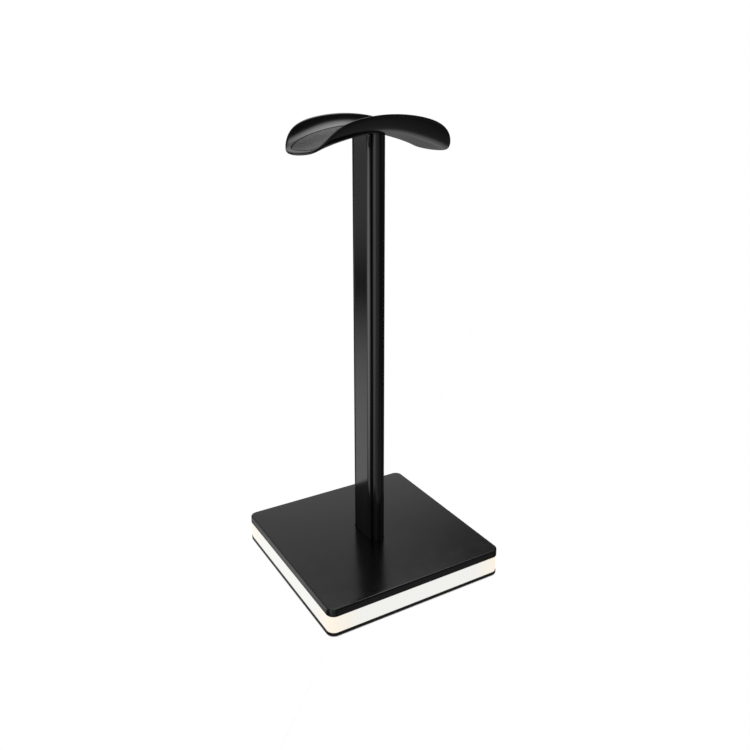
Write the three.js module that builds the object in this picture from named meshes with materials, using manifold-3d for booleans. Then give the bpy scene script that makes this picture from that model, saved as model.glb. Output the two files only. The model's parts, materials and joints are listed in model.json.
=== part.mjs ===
// Headphone stand with a lit square base. Millimetres, +Z up.
// The origin is the middle of the base at table level. +X runs along the saddle, -Y is the front,
// and the power inlet and the mode button are at the rear, +Y.

import * as THREE from "three";
import { mergeVertices } from "three/addons/utils/BufferGeometryUtils.js";
import Module from "manifold-3d";

const wasm = await Module();
wasm.setup();

// ---------------------------------------------------------------- driving dimensions

const BASE_SIDE = 120; // side of the square plates
const BASE_CORNER_RADIUS = 5;
const PLATE_FILLET = 0.8; // rounding of the top cover's upper edge

const FOOT_RADIUS = 6;
const FOOT_INSET = 49; // foot centre from the base's middle, in X and in Y
const FOOT_HEIGHT = 1;
const BOTTOM_PLATE_Z0 = 0.5; // the feet stand this far proud of the bottom plate
const BOTTOM_PLATE_Z1 = 2.3;
const COVER_Z0 = 12.95; // the light band ends here and the top cover begins
const COVER_Z1 = 17.75;
const COVER_WALL = 2.5;

const BAND_INSET = 0.4; // light band set back from the plates' edges
const BAND_WALL = 3;

const POST_HALF_WIDTH = 5.5; // X
const POST_FLAT_HALF = 7.1; // half length of the flat sides, Y
const POST_NOSE = 6.6; // how far each rounded nose stands past the flats
const POST_TOP = 270.8;
const POST_POCKET_DEPTH = 1; // the top cover's pocket that locates the post
const POST_POCKET_GAP = 0.3;
const SCREW_CHANNEL_Y = 8; // the post's two screw channels
const SCREW_CHANNEL_RADIUS = 1.7;
const POST_CORE_RADIUS = 3.2; // the oblong hollow down the post's middle
const POST_CORE_REACH = 1.5; // from the post's axis to the middle of the hollow's round ends
const GROOVE_ANGLE = 40; // degrees round a nose, from the flat side to the groove's middle
const GROOVE_HALF_ANGLE = 9;
const GROOVE_DEPTH = 1.5;
const EDGE_LINE_DEPTH = 0.25; // the fine line where a nose meets the flat

const SADDLE_HALF_LENGTH = 47.1; // from the middle to a tip, in X
const SADDLE_HALF_WIDTH = 27.9;
const SADDLE_ARCH_RADIUS = 78.5; // at the middle of the arch
const SADDLE_ARCH_EASING = 0.12; // share by which the arch drops less at its tips
const SADDLE_FLOOR_Z = 273.8; // top of the channel floor at the middle
const SADDLE_THICKNESS = 2.4; // at the middle of the channel floor
const SADDLE_RIM_THICKNESS = 1.6;
const SADDLE_FLOOR_HALF = 8.5; // half width of the flat middle, where the lips start
const LIP_HEIGHT = 8.3; // lips above the floor, at the middle of the saddle
const LIP_GROWTH = 0.26; // share by which the lips get higher towards the tips
const LIP_POWER = 3.75; // 1 is a straight flare, more is a rounder one
const SADDLE_OUTLINE = [6, 2]; // superellipse exponents of the saddle's outline, along and across
const PAD_OUTLINE = [8, 3];
const PAD_HALF_LENGTH = 44;
const PAD_HALF_WIDTH = 19.5;
const PAD_THICKNESS = 0.8;
const PAD_GAP = 0.3;

const CLEARANCE = 0.3;
const ROUND_STEPS = 16; // sides of a small cylinder

// ---------------------------------------------------------------- materials

function material(color, roughness, metalness = 0) {
  return new THREE.MeshStandardMaterial({ color, roughness, metalness });
}

const satinBlack = material(0x1b1b1c, 0.3);
const brushedBlack = material(0x4a4b4c, 0.35, 0.9);
const shellBlack = material(0x1d1d1e, 0.28);
const padBlack = material(0x2a2a2b, 0.55);
const frostedWhite = material(0xf6f5f0, 0.5);
const white = material(0xe9e9e6, 0.6);
const rubber = material(0x161616, 0.9);
const steel = material(0x9fa2a5, 0.35, 1);
const boardGreen = material(0x1f4a35, 0.6);
const ledYellow = material(0xf3e3a6, 0.5);

// ---------------------------------------------------------------- solids

/** A closed three.js geometry as a manifold solid, for cutting and joining. */
function toSolid(geometry) {
  const bare = geometry.clone();
  bare.deleteAttribute("normal");
  bare.deleteAttribute("uv");
  const merged = mergeVertices(bare, 1e-4);
  return new wasm.Manifold(
    new wasm.Mesh({
      numProp: 3,
      vertProperties: new Float32Array(merged.attributes.position.array),
      triVerts: new Uint32Array(merged.index.array),
    }),
  );
}

function toGeometry(solid) {
  const mesh = solid.getMesh();
  const geometry = new THREE.BufferGeometry();
  geometry.setAttribute("position", new THREE.BufferAttribute(mesh.vertProperties, 3));
  geometry.setIndex(new THREE.BufferAttribute(mesh.triVerts, 1));
  geometry.computeVertexNormals();
  return geometry;
}

const join = (first, ...rest) => rest.reduce((sum, next) => sum.add(next), first);
const cut = (first, ...rest) => rest.reduce((left, next) => left.subtract(next), first);

function cylinder(radius, z0, z1, x = 0, y = 0, steps = ROUND_STEPS) {
  const geometry = new THREE.CylinderGeometry(radius, radius, z1 - z0, steps);
  geometry.rotateX(Math.PI / 2);
  geometry.translate(x, y, (z0 + z1) / 2);
  return toSolid(geometry);
}

/** A cylinder lying along Y. */
function cylinderY(radius, y0, y1, x, z, steps = ROUND_STEPS) {
  const geometry = new THREE.CylinderGeometry(radius, radius, y1 - y0, steps);
  geometry.translate(x, (y0 + y1) / 2, z);
  return toSolid(geometry);
}

function block(x0, x1, y0, y1, z0, z1) {
  const geometry = new THREE.BoxGeometry(x1 - x0, y1 - y0, z1 - z0);
  geometry.translate((x0 + x1) / 2, (y0 + y1) / 2, (z0 + z1) / 2);
  return toSolid(geometry);
}

/** A square outline of the given half side, with its corners as arcs. */
function roundedSquare(half, radius) {
  const inner = half - radius;
  const shape = new THREE.Shape();
  shape.moveTo(-inner, -half);
  shape.lineTo(inner, -half);
  shape.absarc(inner, -inner, radius, -Math.PI / 2, 0);
  shape.absarc(inner, inner, radius, 0, Math.PI / 2);
  shape.absarc(-inner, inner, radius, Math.PI / 2, Math.PI);
  shape.absarc(-inner, -inner, radius, Math.PI, 1.5 * Math.PI);
  return shape;
}

function extrude(shape, z0, z1, curveSegments = 4) {
  const geometry = new THREE.ExtrudeGeometry(shape, {
    depth: z1 - z0,
    bevelEnabled: false,
    curveSegments,
  });
  geometry.translate(0, 0, z0);
  return toSolid(geometry);
}

/** A square ring with rounded corners. */
function squareRing(outer, inner, radius, z0, z1) {
  const innerRadius = Math.max(radius - (outer - inner), 1);
  return cut(
    extrude(roundedSquare(outer, radius), z0, z1),
    extrude(roundedSquare(inner, innerRadius), z0 - 1, z1 + 1),
  );
}

/** The four corners of a square, as [x, y] pairs. */
function corners(distance) {
  return [
    [-distance, -distance],
    [distance, -distance],
    [distance, distance],
    [-distance, distance],
  ];
}

// ---------------------------------------------------------------- assembly

const stand = new THREE.Group();

function addPart(name, solid, finish) {
  const mesh = new THREE.Mesh(toGeometry(solid), finish);
  mesh.name = name;
  stand.add(mesh);
}

// ---------------------------------------------------------------- base shells

const HALF = BASE_SIDE / 2;
const BAND_OUTER = HALF - BAND_INSET;
const BAND_INNER = BAND_OUTER - BAND_WALL;
const LIP_OUTER = BAND_INNER - CLEARANCE; // the cover's locating lip inside the band
const LIP_INNER = LIP_OUTER - 1.5;
const LIP_RADIUS = 2.5; // the locating lip's corners
const LIP_Z0 = COVER_Z0 - 1;
const COVER_CEILING = COVER_Z1 - COVER_WALL;
const SKIRT_WALL = 2;

const JOIN = 0.5; // how far a boss runs into the wall that it stands on
const BASE_SCREW_INSET = 38;
const BASE_SCREW_HEAD = 1; // head height
const BASE_SCREW_TIP = 13;
const BOSS_RADIUS = 3.5;
const BOSS_Z0 = 4; // the cover's bosses meet the bottom plate's bosses here
const SCREW_HEAD_RADIUS = 2.8;
const SCREW_RADIUS = 1.4;
const SCREW_HOLE_RADIUS = 1.7;

const POST_SEAT_HALF_X = 8;
const POST_SEAT_HALF_Y = 18;
const POST_SEAT_Z0 = 12.5; // underside of the thick seat below the post
const POST_FOOT_Z = COVER_Z1 - POST_POCKET_DEPTH;

/**
 * The post's outline: flat sides and two rounded noses. Each nose has two grooves, one on either
 * side of its middle, and a fine line where it meets the flat.
 */
function postOutline(grow = 0, grooved = true) {
  const groove = THREE.MathUtils.degToRad(GROOVE_ANGLE);
  const half = THREE.MathUtils.degToRad(GROOVE_HALF_ANGLE);
  const stops = [];
  const addStop = (angle, inset) => stops.push([angle, grooved ? inset : 0]);
  addStop(0, 0);
  addStop(0.05, EDGE_LINE_DEPTH);
  for (const angle of [0.1, 0.25, 0.4]) addStop(angle, 0);
  addStop(groove - half, 0);
  addStop(groove - half * 0.6, GROOVE_DEPTH);
  addStop(groove + half * 0.6, GROOVE_DEPTH);
  addStop(groove + half, 0);
  for (const angle of [0.98, 1.12, 1.27, 1.42]) addStop(angle, 0);
  const mirrored = stops.map(([angle, inset]) => [Math.PI - angle, inset]).reverse();
  const nose = [...stops, [Math.PI / 2, 0], ...mirrored];
  const points = [];
  for (const side of [1, -1]) {
    for (const [angle, inset] of nose) {
      const width = POST_HALF_WIDTH + grow - inset;
      const length = POST_NOSE + grow - inset;
      const x = -side * width * Math.cos(angle);
      const y = -side * (POST_FLAT_HALF + length * Math.sin(angle));
      points.push(new THREE.Vector2(x, y));
    }
  }
  return new THREE.Shape(points);
}

function baseTopCover() {
  const rounded = new THREE.ExtrudeGeometry(
    roundedSquare(HALF - PLATE_FILLET, BASE_CORNER_RADIUS - PLATE_FILLET),
    {
      depth: COVER_Z1 - COVER_Z0,
      bevelThickness: PLATE_FILLET,
      bevelSize: PLATE_FILLET,
      bevelSegments: 3,
      curveSegments: 4,
    },
  );
  rounded.translate(0, 0, COVER_Z0 - PLATE_FILLET);
  const plate = cut(toSolid(rounded), block(-HALF, HALF, -HALF, HALF, 0, COVER_Z0));
  const skirtInner = roundedSquare(HALF - SKIRT_WALL, BASE_CORNER_RADIUS - SKIRT_WALL);
  const hollow = extrude(skirtInner, COVER_Z0 - 1, COVER_CEILING);
  const lip = squareRing(LIP_OUTER, LIP_INNER, LIP_RADIUS, LIP_Z0, COVER_CEILING + JOIN);
  const seat = block(
    -POST_SEAT_HALF_X,
    POST_SEAT_HALF_X,
    -POST_SEAT_HALF_Y,
    POST_SEAT_HALF_Y,
    POST_SEAT_Z0,
    COVER_CEILING + JOIN,
  );
  const bosses = corners(BASE_SCREW_INSET).map(([x, y]) =>
    cylinder(BOSS_RADIUS, BOSS_Z0, COVER_CEILING + JOIN, x, y),
  );
  const pilots = corners(BASE_SCREW_INSET).map(([x, y]) =>
    cylinder(SCREW_HOLE_RADIUS, BOSS_Z0 - 1, COVER_CEILING - JOIN, x, y),
  );
  const pocket = extrude(postOutline(POST_POCKET_GAP, false), POST_FOOT_Z, COVER_Z1 + 1);
  const holes = [-SCREW_CHANNEL_Y, SCREW_CHANNEL_Y].map((y) =>
    cylinder(SCREW_HOLE_RADIUS, POST_SEAT_Z0 - 1, COVER_Z1, 0, y),
  );
  return cut(join(cut(plate, hollow), lip, seat, ...bosses), ...pilots, pocket, ...holes);
}

const INLET_X = 0;
const INLET_HALF_WIDTH = 4.5;
const INLET_Z0 = 5.6;
const INLET_Z1 = 8.8;
const INLET_Y0 = 51.6;
const INLET_Y1 = BAND_OUTER - 0.2;
const INLET_WALL = 0.35;
const TONGUE_HALF_WIDTH = 3.3;
const TONGUE_HALF_THICKNESS = 0.35;
const BUTTON_X = 16;
const BUTTON_Z = 7.25;
const BUTTON_RADIUS = 3;

function lightBand() {
  const ring = squareRing(
    BAND_OUTER,
    BAND_INNER,
    BASE_CORNER_RADIUS - BAND_INSET,
    BOTTOM_PLATE_Z1,
    COVER_Z0,
  );
  const inletSlot = block(
    INLET_X - INLET_HALF_WIDTH - CLEARANCE,
    INLET_X + INLET_HALF_WIDTH + CLEARANCE,
    BAND_INNER - 1,
    BAND_OUTER + 1,
    INLET_Z0 - CLEARANCE,
    INLET_Z1 + CLEARANCE,
  );
  const buttonHole = cylinderY(
    BUTTON_RADIUS + CLEARANCE,
    BAND_INNER - 1,
    BAND_OUTER + 1,
    BUTTON_X,
    BUTTON_Z,
  );
  return cut(ring, inletSlot, buttonHole);
}

const BOARD_X0 = -26;
const BOARD_X1 = 30;
const BOARD_Y0 = 31;
const BOARD_Y1 = 54.6;
const BOARD_Z0 = 4;
const BOARD_Z1 = 5.6;
const BOARD_SCREWS = [
  [-20, 36],
  [24, 36],
];
const STANDOFF_RADIUS = 3;
const BOARD_SCREW_RADIUS = 1;
const BOARD_SCREW_HOLE_RADIUS = 1.3;
const BOARD_SCREW_HEAD_RADIUS = 2.3;
const BOARD_SCREW_HEAD = 1.4; // head height

function baseBottomPlate() {
  const plate = extrude(
    roundedSquare(HALF, BASE_CORNER_RADIUS),
    BOTTOM_PLATE_Z0,
    BOTTOM_PLATE_Z1,
  );
  const bosses = corners(BASE_SCREW_INSET).map(([x, y]) =>
    cylinder(BOSS_RADIUS + 1, BOTTOM_PLATE_Z1 - JOIN, BOSS_Z0, x, y),
  );
  const standoffs = BOARD_SCREWS.map(([x, y]) =>
    cylinder(STANDOFF_RADIUS, BOTTOM_PLATE_Z1 - JOIN, BOARD_Z0, x, y),
  );
  const counterbores = corners(BASE_SCREW_INSET).map(([x, y]) =>
    cylinder(SCREW_HEAD_RADIUS + CLEARANCE, 0, BOTTOM_PLATE_Z1, x, y),
  );
  const holes = corners(BASE_SCREW_INSET).map(([x, y]) =>
    cylinder(SCREW_HOLE_RADIUS, 0, BOSS_Z0 + 1, x, y),
  );
  const pilots = BOARD_SCREWS.map(([x, y]) =>
    cylinder(BOARD_SCREW_HOLE_RADIUS, BOTTOM_PLATE_Z0 + 1, BOARD_Z0 + 1, x, y),
  );
  const pockets = corners(FOOT_INSET).map(([x, y]) =>
    cylinder(FOOT_RADIUS + CLEARANCE, 0, FOOT_HEIGHT, x, y, 24),
  );
  return cut(join(plate, ...bosses, ...standoffs), ...counterbores, ...holes, ...pilots, ...pockets);
}

/** An upright screw with a hex socket. Its head rests on seatZ and its shank ends at tipZ. */
function screw(x, y, seatZ, headHeight, tipZ) {
  const pointsUp = tipZ > seatZ;
  const headZ0 = pointsUp ? seatZ - headHeight : seatZ;
  const head = cylinder(SCREW_HEAD_RADIUS, headZ0, headZ0 + headHeight, x, y);
  const shankStart = pointsUp ? seatZ - 0.2 : seatZ + 0.2; // inside the head
  const shankZ0 = Math.min(shankStart, tipZ);
  const shankZ1 = Math.max(shankStart, tipZ);
  const shank = cylinder(SCREW_RADIUS, shankZ0, shankZ1, x, y);
  const socketDepth = headHeight * 0.6;
  const socketZ0 = pointsUp ? headZ0 - 0.01 : headZ0 + headHeight - socketDepth;
  const socket = cylinder(SCREW_HEAD_RADIUS * 0.4, socketZ0, socketZ0 + socketDepth + 0.01, x, y, 6);
  return cut(join(head, shank), socket);
}

addPart("base_top_cover", baseTopCover(), satinBlack);
addPart("light_band", lightBand(), frostedWhite);
addPart("base_bottom_plate", baseBottomPlate(), satinBlack);
corners(FOOT_INSET).forEach(([x, y], i) => {
  addPart(`foot_pad_${i + 1}`, cylinder(FOOT_RADIUS, 0, FOOT_HEIGHT, x, y, 24), rubber);
});
corners(BASE_SCREW_INSET).forEach(([x, y], i) => {
  const baseScrew = screw(x, y, BOTTOM_PLATE_Z1, BASE_SCREW_HEAD, BASE_SCREW_TIP);
  addPart(`base_screw_${i + 1}`, baseScrew, steel);
});

// ---------------------------------------------------------------- inside the base

const BALLAST_HALF_X = 40;
const BALLAST_HALF_Y = 28;
const BALLAST_TOP = BOTTOM_PLATE_Z1 + 5;

const CARRIER_OUTER = 52;
const CARRIER_WALL = 2;
const CARRIER_RADIUS = 3;
const CARRIER_Z1 = 11.3;
const CARRIER_INNER = CARRIER_OUTER - CARRIER_WALL;
const CARRIER_GATE_X0 = -28; // the rear wall is open here for the board and its parts
const CARRIER_GATE_X1 = 32;

const STRIP_THICKNESS = 0.5;
const STRIP_TAPE = 0.05;
const STRIP_Z0 = 4;
const STRIP_Z1 = 11;
const STRIP_END = 47; // a strip stops this far from the middle of its side
const LED_HALF = 1.4;
const LED_HEIGHT = 1.5;
const LED_PITCH = 12;

function lightCarrier() {
  const ring = squareRing(
    CARRIER_OUTER,
    CARRIER_INNER,
    CARRIER_RADIUS,
    BOTTOM_PLATE_Z1,
    CARRIER_Z1,
  );
  const gate = block(
    CARRIER_GATE_X0,
    CARRIER_GATE_X1,
    CARRIER_INNER - 2,
    CARRIER_OUTER + 1,
    BOARD_Z0 - 0.5,
    CARRIER_Z1 + 1,
  );
  return cut(ring, gate);
}

/** A strip stuck to the outside of the carrier, with its LEDs facing the band. */
function ledStrip(from, to, turn) {
  const face = CARRIER_OUTER + STRIP_TAPE;
  const ledZ = (STRIP_Z0 + STRIP_Z1) / 2;
  let strip = block(from, to, face, face + STRIP_THICKNESS, STRIP_Z0, STRIP_Z1);
  const count = Math.max(1, Math.floor((to - from) / LED_PITCH));
  const first = (from + to) / 2 - ((count - 1) * LED_PITCH) / 2;
  for (let i = 0; i < count; i += 1) {
    const x = first + i * LED_PITCH;
    const y0 = face + STRIP_THICKNESS / 2;
    const y1 = face + LED_HEIGHT;
    strip = strip.add(block(x - LED_HALF, x + LED_HALF, y0, y1, ledZ - LED_HALF, ledZ + LED_HALF));
  }
  return strip.rotate([0, 0, turn]);
}

addPart(
  "ballast_plate",
  block(
    -BALLAST_HALF_X,
    BALLAST_HALF_X,
    -BALLAST_HALF_Y,
    BALLAST_HALF_Y,
    BOTTOM_PLATE_Z1,
    BALLAST_TOP,
  ),
  steel,
);
addPart("light_carrier", lightCarrier(), white);
addPart("led_strip_front", ledStrip(-STRIP_END, STRIP_END, 180), ledYellow);
addPart("led_strip_left", ledStrip(-STRIP_END, STRIP_END, 90), ledYellow);
addPart("led_strip_right", ledStrip(-STRIP_END, STRIP_END, -90), ledYellow);
addPart("led_strip_rear_left", ledStrip(-STRIP_END, CARRIER_GATE_X0 - 1, 0), ledYellow);
addPart("led_strip_rear_right", ledStrip(CARRIER_GATE_X1 + 1, STRIP_END, 0), ledYellow);

/** The circuit board with its two tall components, a square chip and a round coil. */
function controlBoard() {
  const board = block(BOARD_X0, BOARD_X1, BOARD_Y0, BOARD_Y1, BOARD_Z0, BOARD_Z1);
  const rooted = BOARD_Z1 - 0.2;
  const chip = block(-6, 2, 35, 43, rooted, BOARD_Z1 + 1.2);
  const coil = cylinder(3, rooted, BOARD_Z1 + 2.5, 10, 40);
  const holes = BOARD_SCREWS.map(([x, y]) =>
    cylinder(SCREW_HOLE_RADIUS, BOARD_Z0 - 1, BOARD_Z1 + 1, x, y),
  );
  return cut(join(board, chip, coil), ...holes);
}

/** An oblong outline lying in XZ, as a solid along Y. */
function oblongY(halfWidth, z0, z1, y0, y1) {
  const radius = (z1 - z0) / 2;
  const z = (z0 + z1) / 2;
  const reach = halfWidth - radius;
  return join(
    block(-reach, reach, y0, y1, z0, z1),
    cylinderY(radius, y0, y1, -reach, z, 16),
    cylinderY(radius, y0, y1, reach, z, 16),
  );
}

/** The inlet's metal shell with its contact tongue, open to the rear. */
function powerInlet() {
  const z0 = INLET_Z0 + INLET_WALL;
  const z1 = INLET_Z1 - INLET_WALL;
  const mouthHalf = INLET_HALF_WIDTH - INLET_WALL;
  const shell = cut(
    oblongY(INLET_HALF_WIDTH, INLET_Z0, INLET_Z1, INLET_Y0, INLET_Y1),
    oblongY(mouthHalf, z0, z1, INLET_Y0 + 1, INLET_Y1 + 1),
  );
  const middle = (INLET_Z0 + INLET_Z1) / 2;
  const tongue = block(
    -TONGUE_HALF_WIDTH,
    TONGUE_HALF_WIDTH,
    INLET_Y0 + 0.5,
    INLET_Y1 - 1,
    middle - TONGUE_HALF_THICKNESS,
    middle + TONGUE_HALF_THICKNESS,
  );
  return join(shell, tongue).translate([INLET_X, 0, 0]);
}

const BUTTON_TRAVEL_ROOM = 0.45;
const BUTTON_FACE = BAND_OUTER + BAND_INSET - 0.1;
const BUTTON_FLANGE_Y1 = BAND_INNER - 0.1; // the flange keeps the cap from falling out
const BUTTON_FLANGE_Y0 = BUTTON_FLANGE_Y1 - 1;
const BUTTON_STEM_END = 53.5;
const BUTTON_FLANGE_RADIUS = BUTTON_RADIUS + 0.7;
const DISH_RADIUS = 9; // the hollow in the button's face is part of a sphere
const DISH_DEPTH = 0.25;
const PLUNGER_RADIUS = 1.2;
const SWITCH_Y0 = 48;
const SWITCH_Y1 = 52.5;
const SWITCH_HALF_WIDTH = 3;
const SWITCH_Z1 = BUTTON_Z + 1.9;
const SWITCH_BORE_Y0 = SWITCH_Y0 + 1.5;

function modeSwitch() {
  const body = block(
    BUTTON_X - SWITCH_HALF_WIDTH,
    BUTTON_X + SWITCH_HALF_WIDTH,
    SWITCH_Y0,
    SWITCH_Y1,
    BOARD_Z1,
    SWITCH_Z1,
  );
  const boreRadius = PLUNGER_RADIUS + 0.1;
  const bore = cylinderY(boreRadius, SWITCH_BORE_Y0, SWITCH_Y1 + 1, BUTTON_X, BUTTON_Z);
  return cut(body, bore);
}

function switchPlunger() {
  const y0 = SWITCH_BORE_Y0 + BUTTON_TRAVEL_ROOM + 0.3;
  return cylinderY(PLUNGER_RADIUS, y0, BUTTON_STEM_END, BUTTON_X, BUTTON_Z, 16);
}

function modeButton() {
  const cap = cylinderY(BUTTON_RADIUS, BUTTON_FLANGE_Y0, BUTTON_FACE, BUTTON_X, BUTTON_Z, 24);
  const flange = cylinderY(
    BUTTON_FLANGE_RADIUS,
    BUTTON_FLANGE_Y0,
    BUTTON_FLANGE_Y1,
    BUTTON_X,
    BUTTON_Z,
    24,
  );
  const stemEnd = BUTTON_FLANGE_Y0 + 0.2; // inside the flange
  const stem = cylinderY(PLUNGER_RADIUS, BUTTON_STEM_END, stemEnd, BUTTON_X, BUTTON_Z, 16);
  const dish = new THREE.SphereGeometry(DISH_RADIUS, 24, 16);
  dish.translate(BUTTON_X, BUTTON_FACE + DISH_RADIUS - DISH_DEPTH, BUTTON_Z);
  return cut(join(cap, flange, stem), toSolid(dish));
}

const LEAD_RADIUS = 0.5;
const LEAD_ROUTE = [
  [-23, 44, 6.2],
  [-26, 44.5, 6.6],
  [-30, 46, 6.6],
  [-34, 47.4, 6.6],
  [-40, 47.6, 6.6],
  [-45, 46.6, 6.6],
  [-48.6, 44, 6.6],
];

/** The lead from the board to the carrier, round the outside of the corner boss. */
function stripLead() {
  const path = new THREE.CatmullRomCurve3(
    LEAD_ROUTE.map(([x, y, z]) => new THREE.Vector3(x, y, z)),
  );
  const section = new THREE.Shape();
  section.absarc(0, 0, LEAD_RADIUS, 0, 2 * Math.PI);
  const geometry = new THREE.ExtrudeGeometry(section, {
    steps: 14,
    curveSegments: 3,
    extrudePath: path,
  });
  return toSolid(geometry);
}

addPart("control_board", controlBoard(), boardGreen);
addPart("power_inlet", powerInlet(), steel);
addPart("mode_switch", modeSwitch(), satinBlack);
addPart("switch_plunger", switchPlunger(), white);
addPart("mode_button", modeButton(), satinBlack);
addPart("strip_lead", stripLead(), rubber);
BOARD_SCREWS.forEach(([x, y], i) => {
  const boardScrew = join(
    cylinder(BOARD_SCREW_HEAD_RADIUS, BOARD_Z1, BOARD_Z1 + BOARD_SCREW_HEAD, x, y),
    cylinder(BOARD_SCREW_RADIUS, BOTTOM_PLATE_Z1, BOARD_Z1 + JOIN, x, y),
  );
  addPart(`board_screw_${i + 1}`, boardScrew, steel);
});

// ---------------------------------------------------------------- post

function post() {
  const outline = postOutline();
  for (const y of [-SCREW_CHANNEL_Y, SCREW_CHANNEL_Y]) {
    const channel = new THREE.Path();
    channel.absarc(0, y, SCREW_CHANNEL_RADIUS, 0, 2 * Math.PI, true);
    outline.holes.push(channel);
  }
  const core = new THREE.Path();
  core.absarc(0, -POST_CORE_REACH, POST_CORE_RADIUS, Math.PI, 2 * Math.PI, false);
  core.absarc(0, POST_CORE_REACH, POST_CORE_RADIUS, 0, Math.PI, false);
  outline.holes.push(core);
  return extrude(outline, POST_FOOT_Z, POST_TOP);
}

const WASHER_THICKNESS = 0.75;
const WASHER_RADIUS = 3.5;
const POST_SCREW_HEAD = 1.75; // head height
const POST_SCREW_GRIP = 16; // how far the screws run up into the post

addPart("post", post(), brushedBlack);
[-SCREW_CHANNEL_Y, SCREW_CHANNEL_Y].forEach((y, i) => {
  const seat = POST_SEAT_Z0 - WASHER_THICKNESS;
  const washer = cut(
    cylinder(WASHER_RADIUS, seat, POST_SEAT_Z0, 0, y, 20),
    cylinder(SCREW_HOLE_RADIUS, 0, POST_SEAT_Z0 + 1, 0, y),
  );
  addPart(`post_washer_${i + 1}`, washer, steel);
  const postScrew = screw(0, y, seat, POST_SCREW_HEAD, POST_FOOT_Z + POST_SCREW_GRIP);
  addPart(`post_screw_${i + 1}`, postScrew, steel);
});

// ---------------------------------------------------------------- saddle

/**
 * A point of the saddle. along is X and across is Y on the channel's surface, and offset is the
 * distance from that surface, upwards. The surface is an arch along X whose two long edges flare
 * up into lips.
 */
function saddlePoint(along, across, offset) {
  const tip = (along / SADDLE_HALF_LENGTH) ** 2;
  const drop = (along ** 2 / (2 * SADDLE_ARCH_RADIUS)) * (1 - SADDLE_ARCH_EASING * tip);
  const fall = (along / SADDLE_ARCH_RADIUS) * (1 - 2 * SADDLE_ARCH_EASING * tip);
  const turn = Math.atan(fall);
  const flare = SADDLE_HALF_WIDTH - SADDLE_FLOOR_HALF;
  const reach = Math.max(Math.abs(across) - SADDLE_FLOOR_HALF, 0) / flare;
  const height = LIP_HEIGHT * (1 + LIP_GROWTH * tip);
  const slope = (height * LIP_POWER * reach ** (LIP_POWER - 1)) / flare;
  const tilt = Math.atan(slope) * Math.sign(across);
  const rise = height * reach ** LIP_POWER + offset * Math.cos(tilt);
  return new THREE.Vector3(
    along + rise * Math.sin(turn),
    across - offset * Math.sin(tilt),
    SADDLE_FLOOR_Z - drop + rise * Math.cos(turn),
  );
}

/**
 * A sheet bent to the saddle: a disc with a rounded rim, stretched to a superellipse outline and
 * laid on the surface. outline holds its exponents, top is the offset of the sheet's upper face,
 * and its thickness goes from middle to edge.
 */
function saddleSheet(outline, halfLength, halfWidth, top, middle, edge = middle) {
  const rings = 9;
  const rimRings = 5;
  const rim = edge / 2 / halfWidth;
  const flatEnd = 1 - rim;
  const thicknessAt = (ring) => {
    const towardsEdge = THREE.MathUtils.smoothstep(ring, 0.55, 0.95);
    return THREE.MathUtils.lerp(middle, edge, towardsEdge);
  };
  const ringAt = (i) => flatEnd * (i / rings) ** 0.8; // closer together towards the rim
  const profile = [new THREE.Vector2(0, top - middle)];
  for (let i = 1; i <= rings; i += 1) {
    profile.push(new THREE.Vector2(ringAt(i), top - thicknessAt(ringAt(i))));
  }
  for (let i = 1; i < rimRings; i += 1) {
    const angle = -Math.PI / 2 + (Math.PI * i) / rimRings;
    const ring = flatEnd + rim * Math.cos(angle);
    profile.push(new THREE.Vector2(ring, top + (edge / 2) * (Math.sin(angle) - 1)));
  }
  for (let i = rings; i >= 1; i -= 1) {
    profile.push(new THREE.Vector2(ringAt(i), top));
  }
  profile.push(new THREE.Vector2(0, top));
  const geometry = new THREE.LatheGeometry(profile, 48);
  const position = geometry.attributes.position;
  const [alongPower, acrossPower] = outline;
  for (let i = 0; i < position.count; i += 1) {
    const ring = Math.hypot(position.getX(i), position.getZ(i));
    const angle = Math.atan2(position.getX(i), position.getZ(i));
    const along = Math.cos(angle);
    const side = Math.max(1 - Math.abs(along) ** alongPower, 0) ** (1 / acrossPower);
    const across = Math.sign(Math.sin(angle)) * side;
    const point = saddlePoint(
      ring * along * halfLength,
      ring * across * halfWidth,
      position.getY(i),
    );
    position.setXYZ(i, point.x, point.y, point.z);
  }
  return toSolid(geometry);
}

const SEAT_Z1 = SADDLE_FLOOR_Z - 1.5; // inside the sheet
const SADDLE_SCREW_SEAT = POST_TOP + 1;
const SADDLE_SCREW_HEAD = 1; // head height
const SADDLE_SCREW_TIP = POST_TOP - 14;

function saddleShell() {
  const sheet = saddleSheet(
    SADDLE_OUTLINE,
    SADDLE_HALF_LENGTH,
    SADDLE_HALF_WIDTH,
    0,
    SADDLE_THICKNESS,
    SADDLE_RIM_THICKNESS,
  );
  const seat = extrude(postOutline(0, true), POST_TOP, SEAT_Z1);
  const recessDepth = PAD_THICKNESS + PAD_GAP;
  const recess = saddleSheet(
    PAD_OUTLINE,
    PAD_HALF_LENGTH + PAD_GAP + recessDepth,
    PAD_HALF_WIDTH + PAD_GAP + recessDepth,
    recessDepth,
    2 * recessDepth,
  );
  const holes = [-SCREW_CHANNEL_Y, SCREW_CHANNEL_Y].flatMap((y) => [
    cylinder(SCREW_HOLE_RADIUS, POST_TOP - 1, SADDLE_FLOOR_Z, 0, y),
    cylinder(SCREW_HEAD_RADIUS + CLEARANCE, SADDLE_SCREW_SEAT, SADDLE_FLOOR_Z + 1, 0, y),
  ]);
  return cut(join(sheet, seat), recess, ...holes);
}

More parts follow.
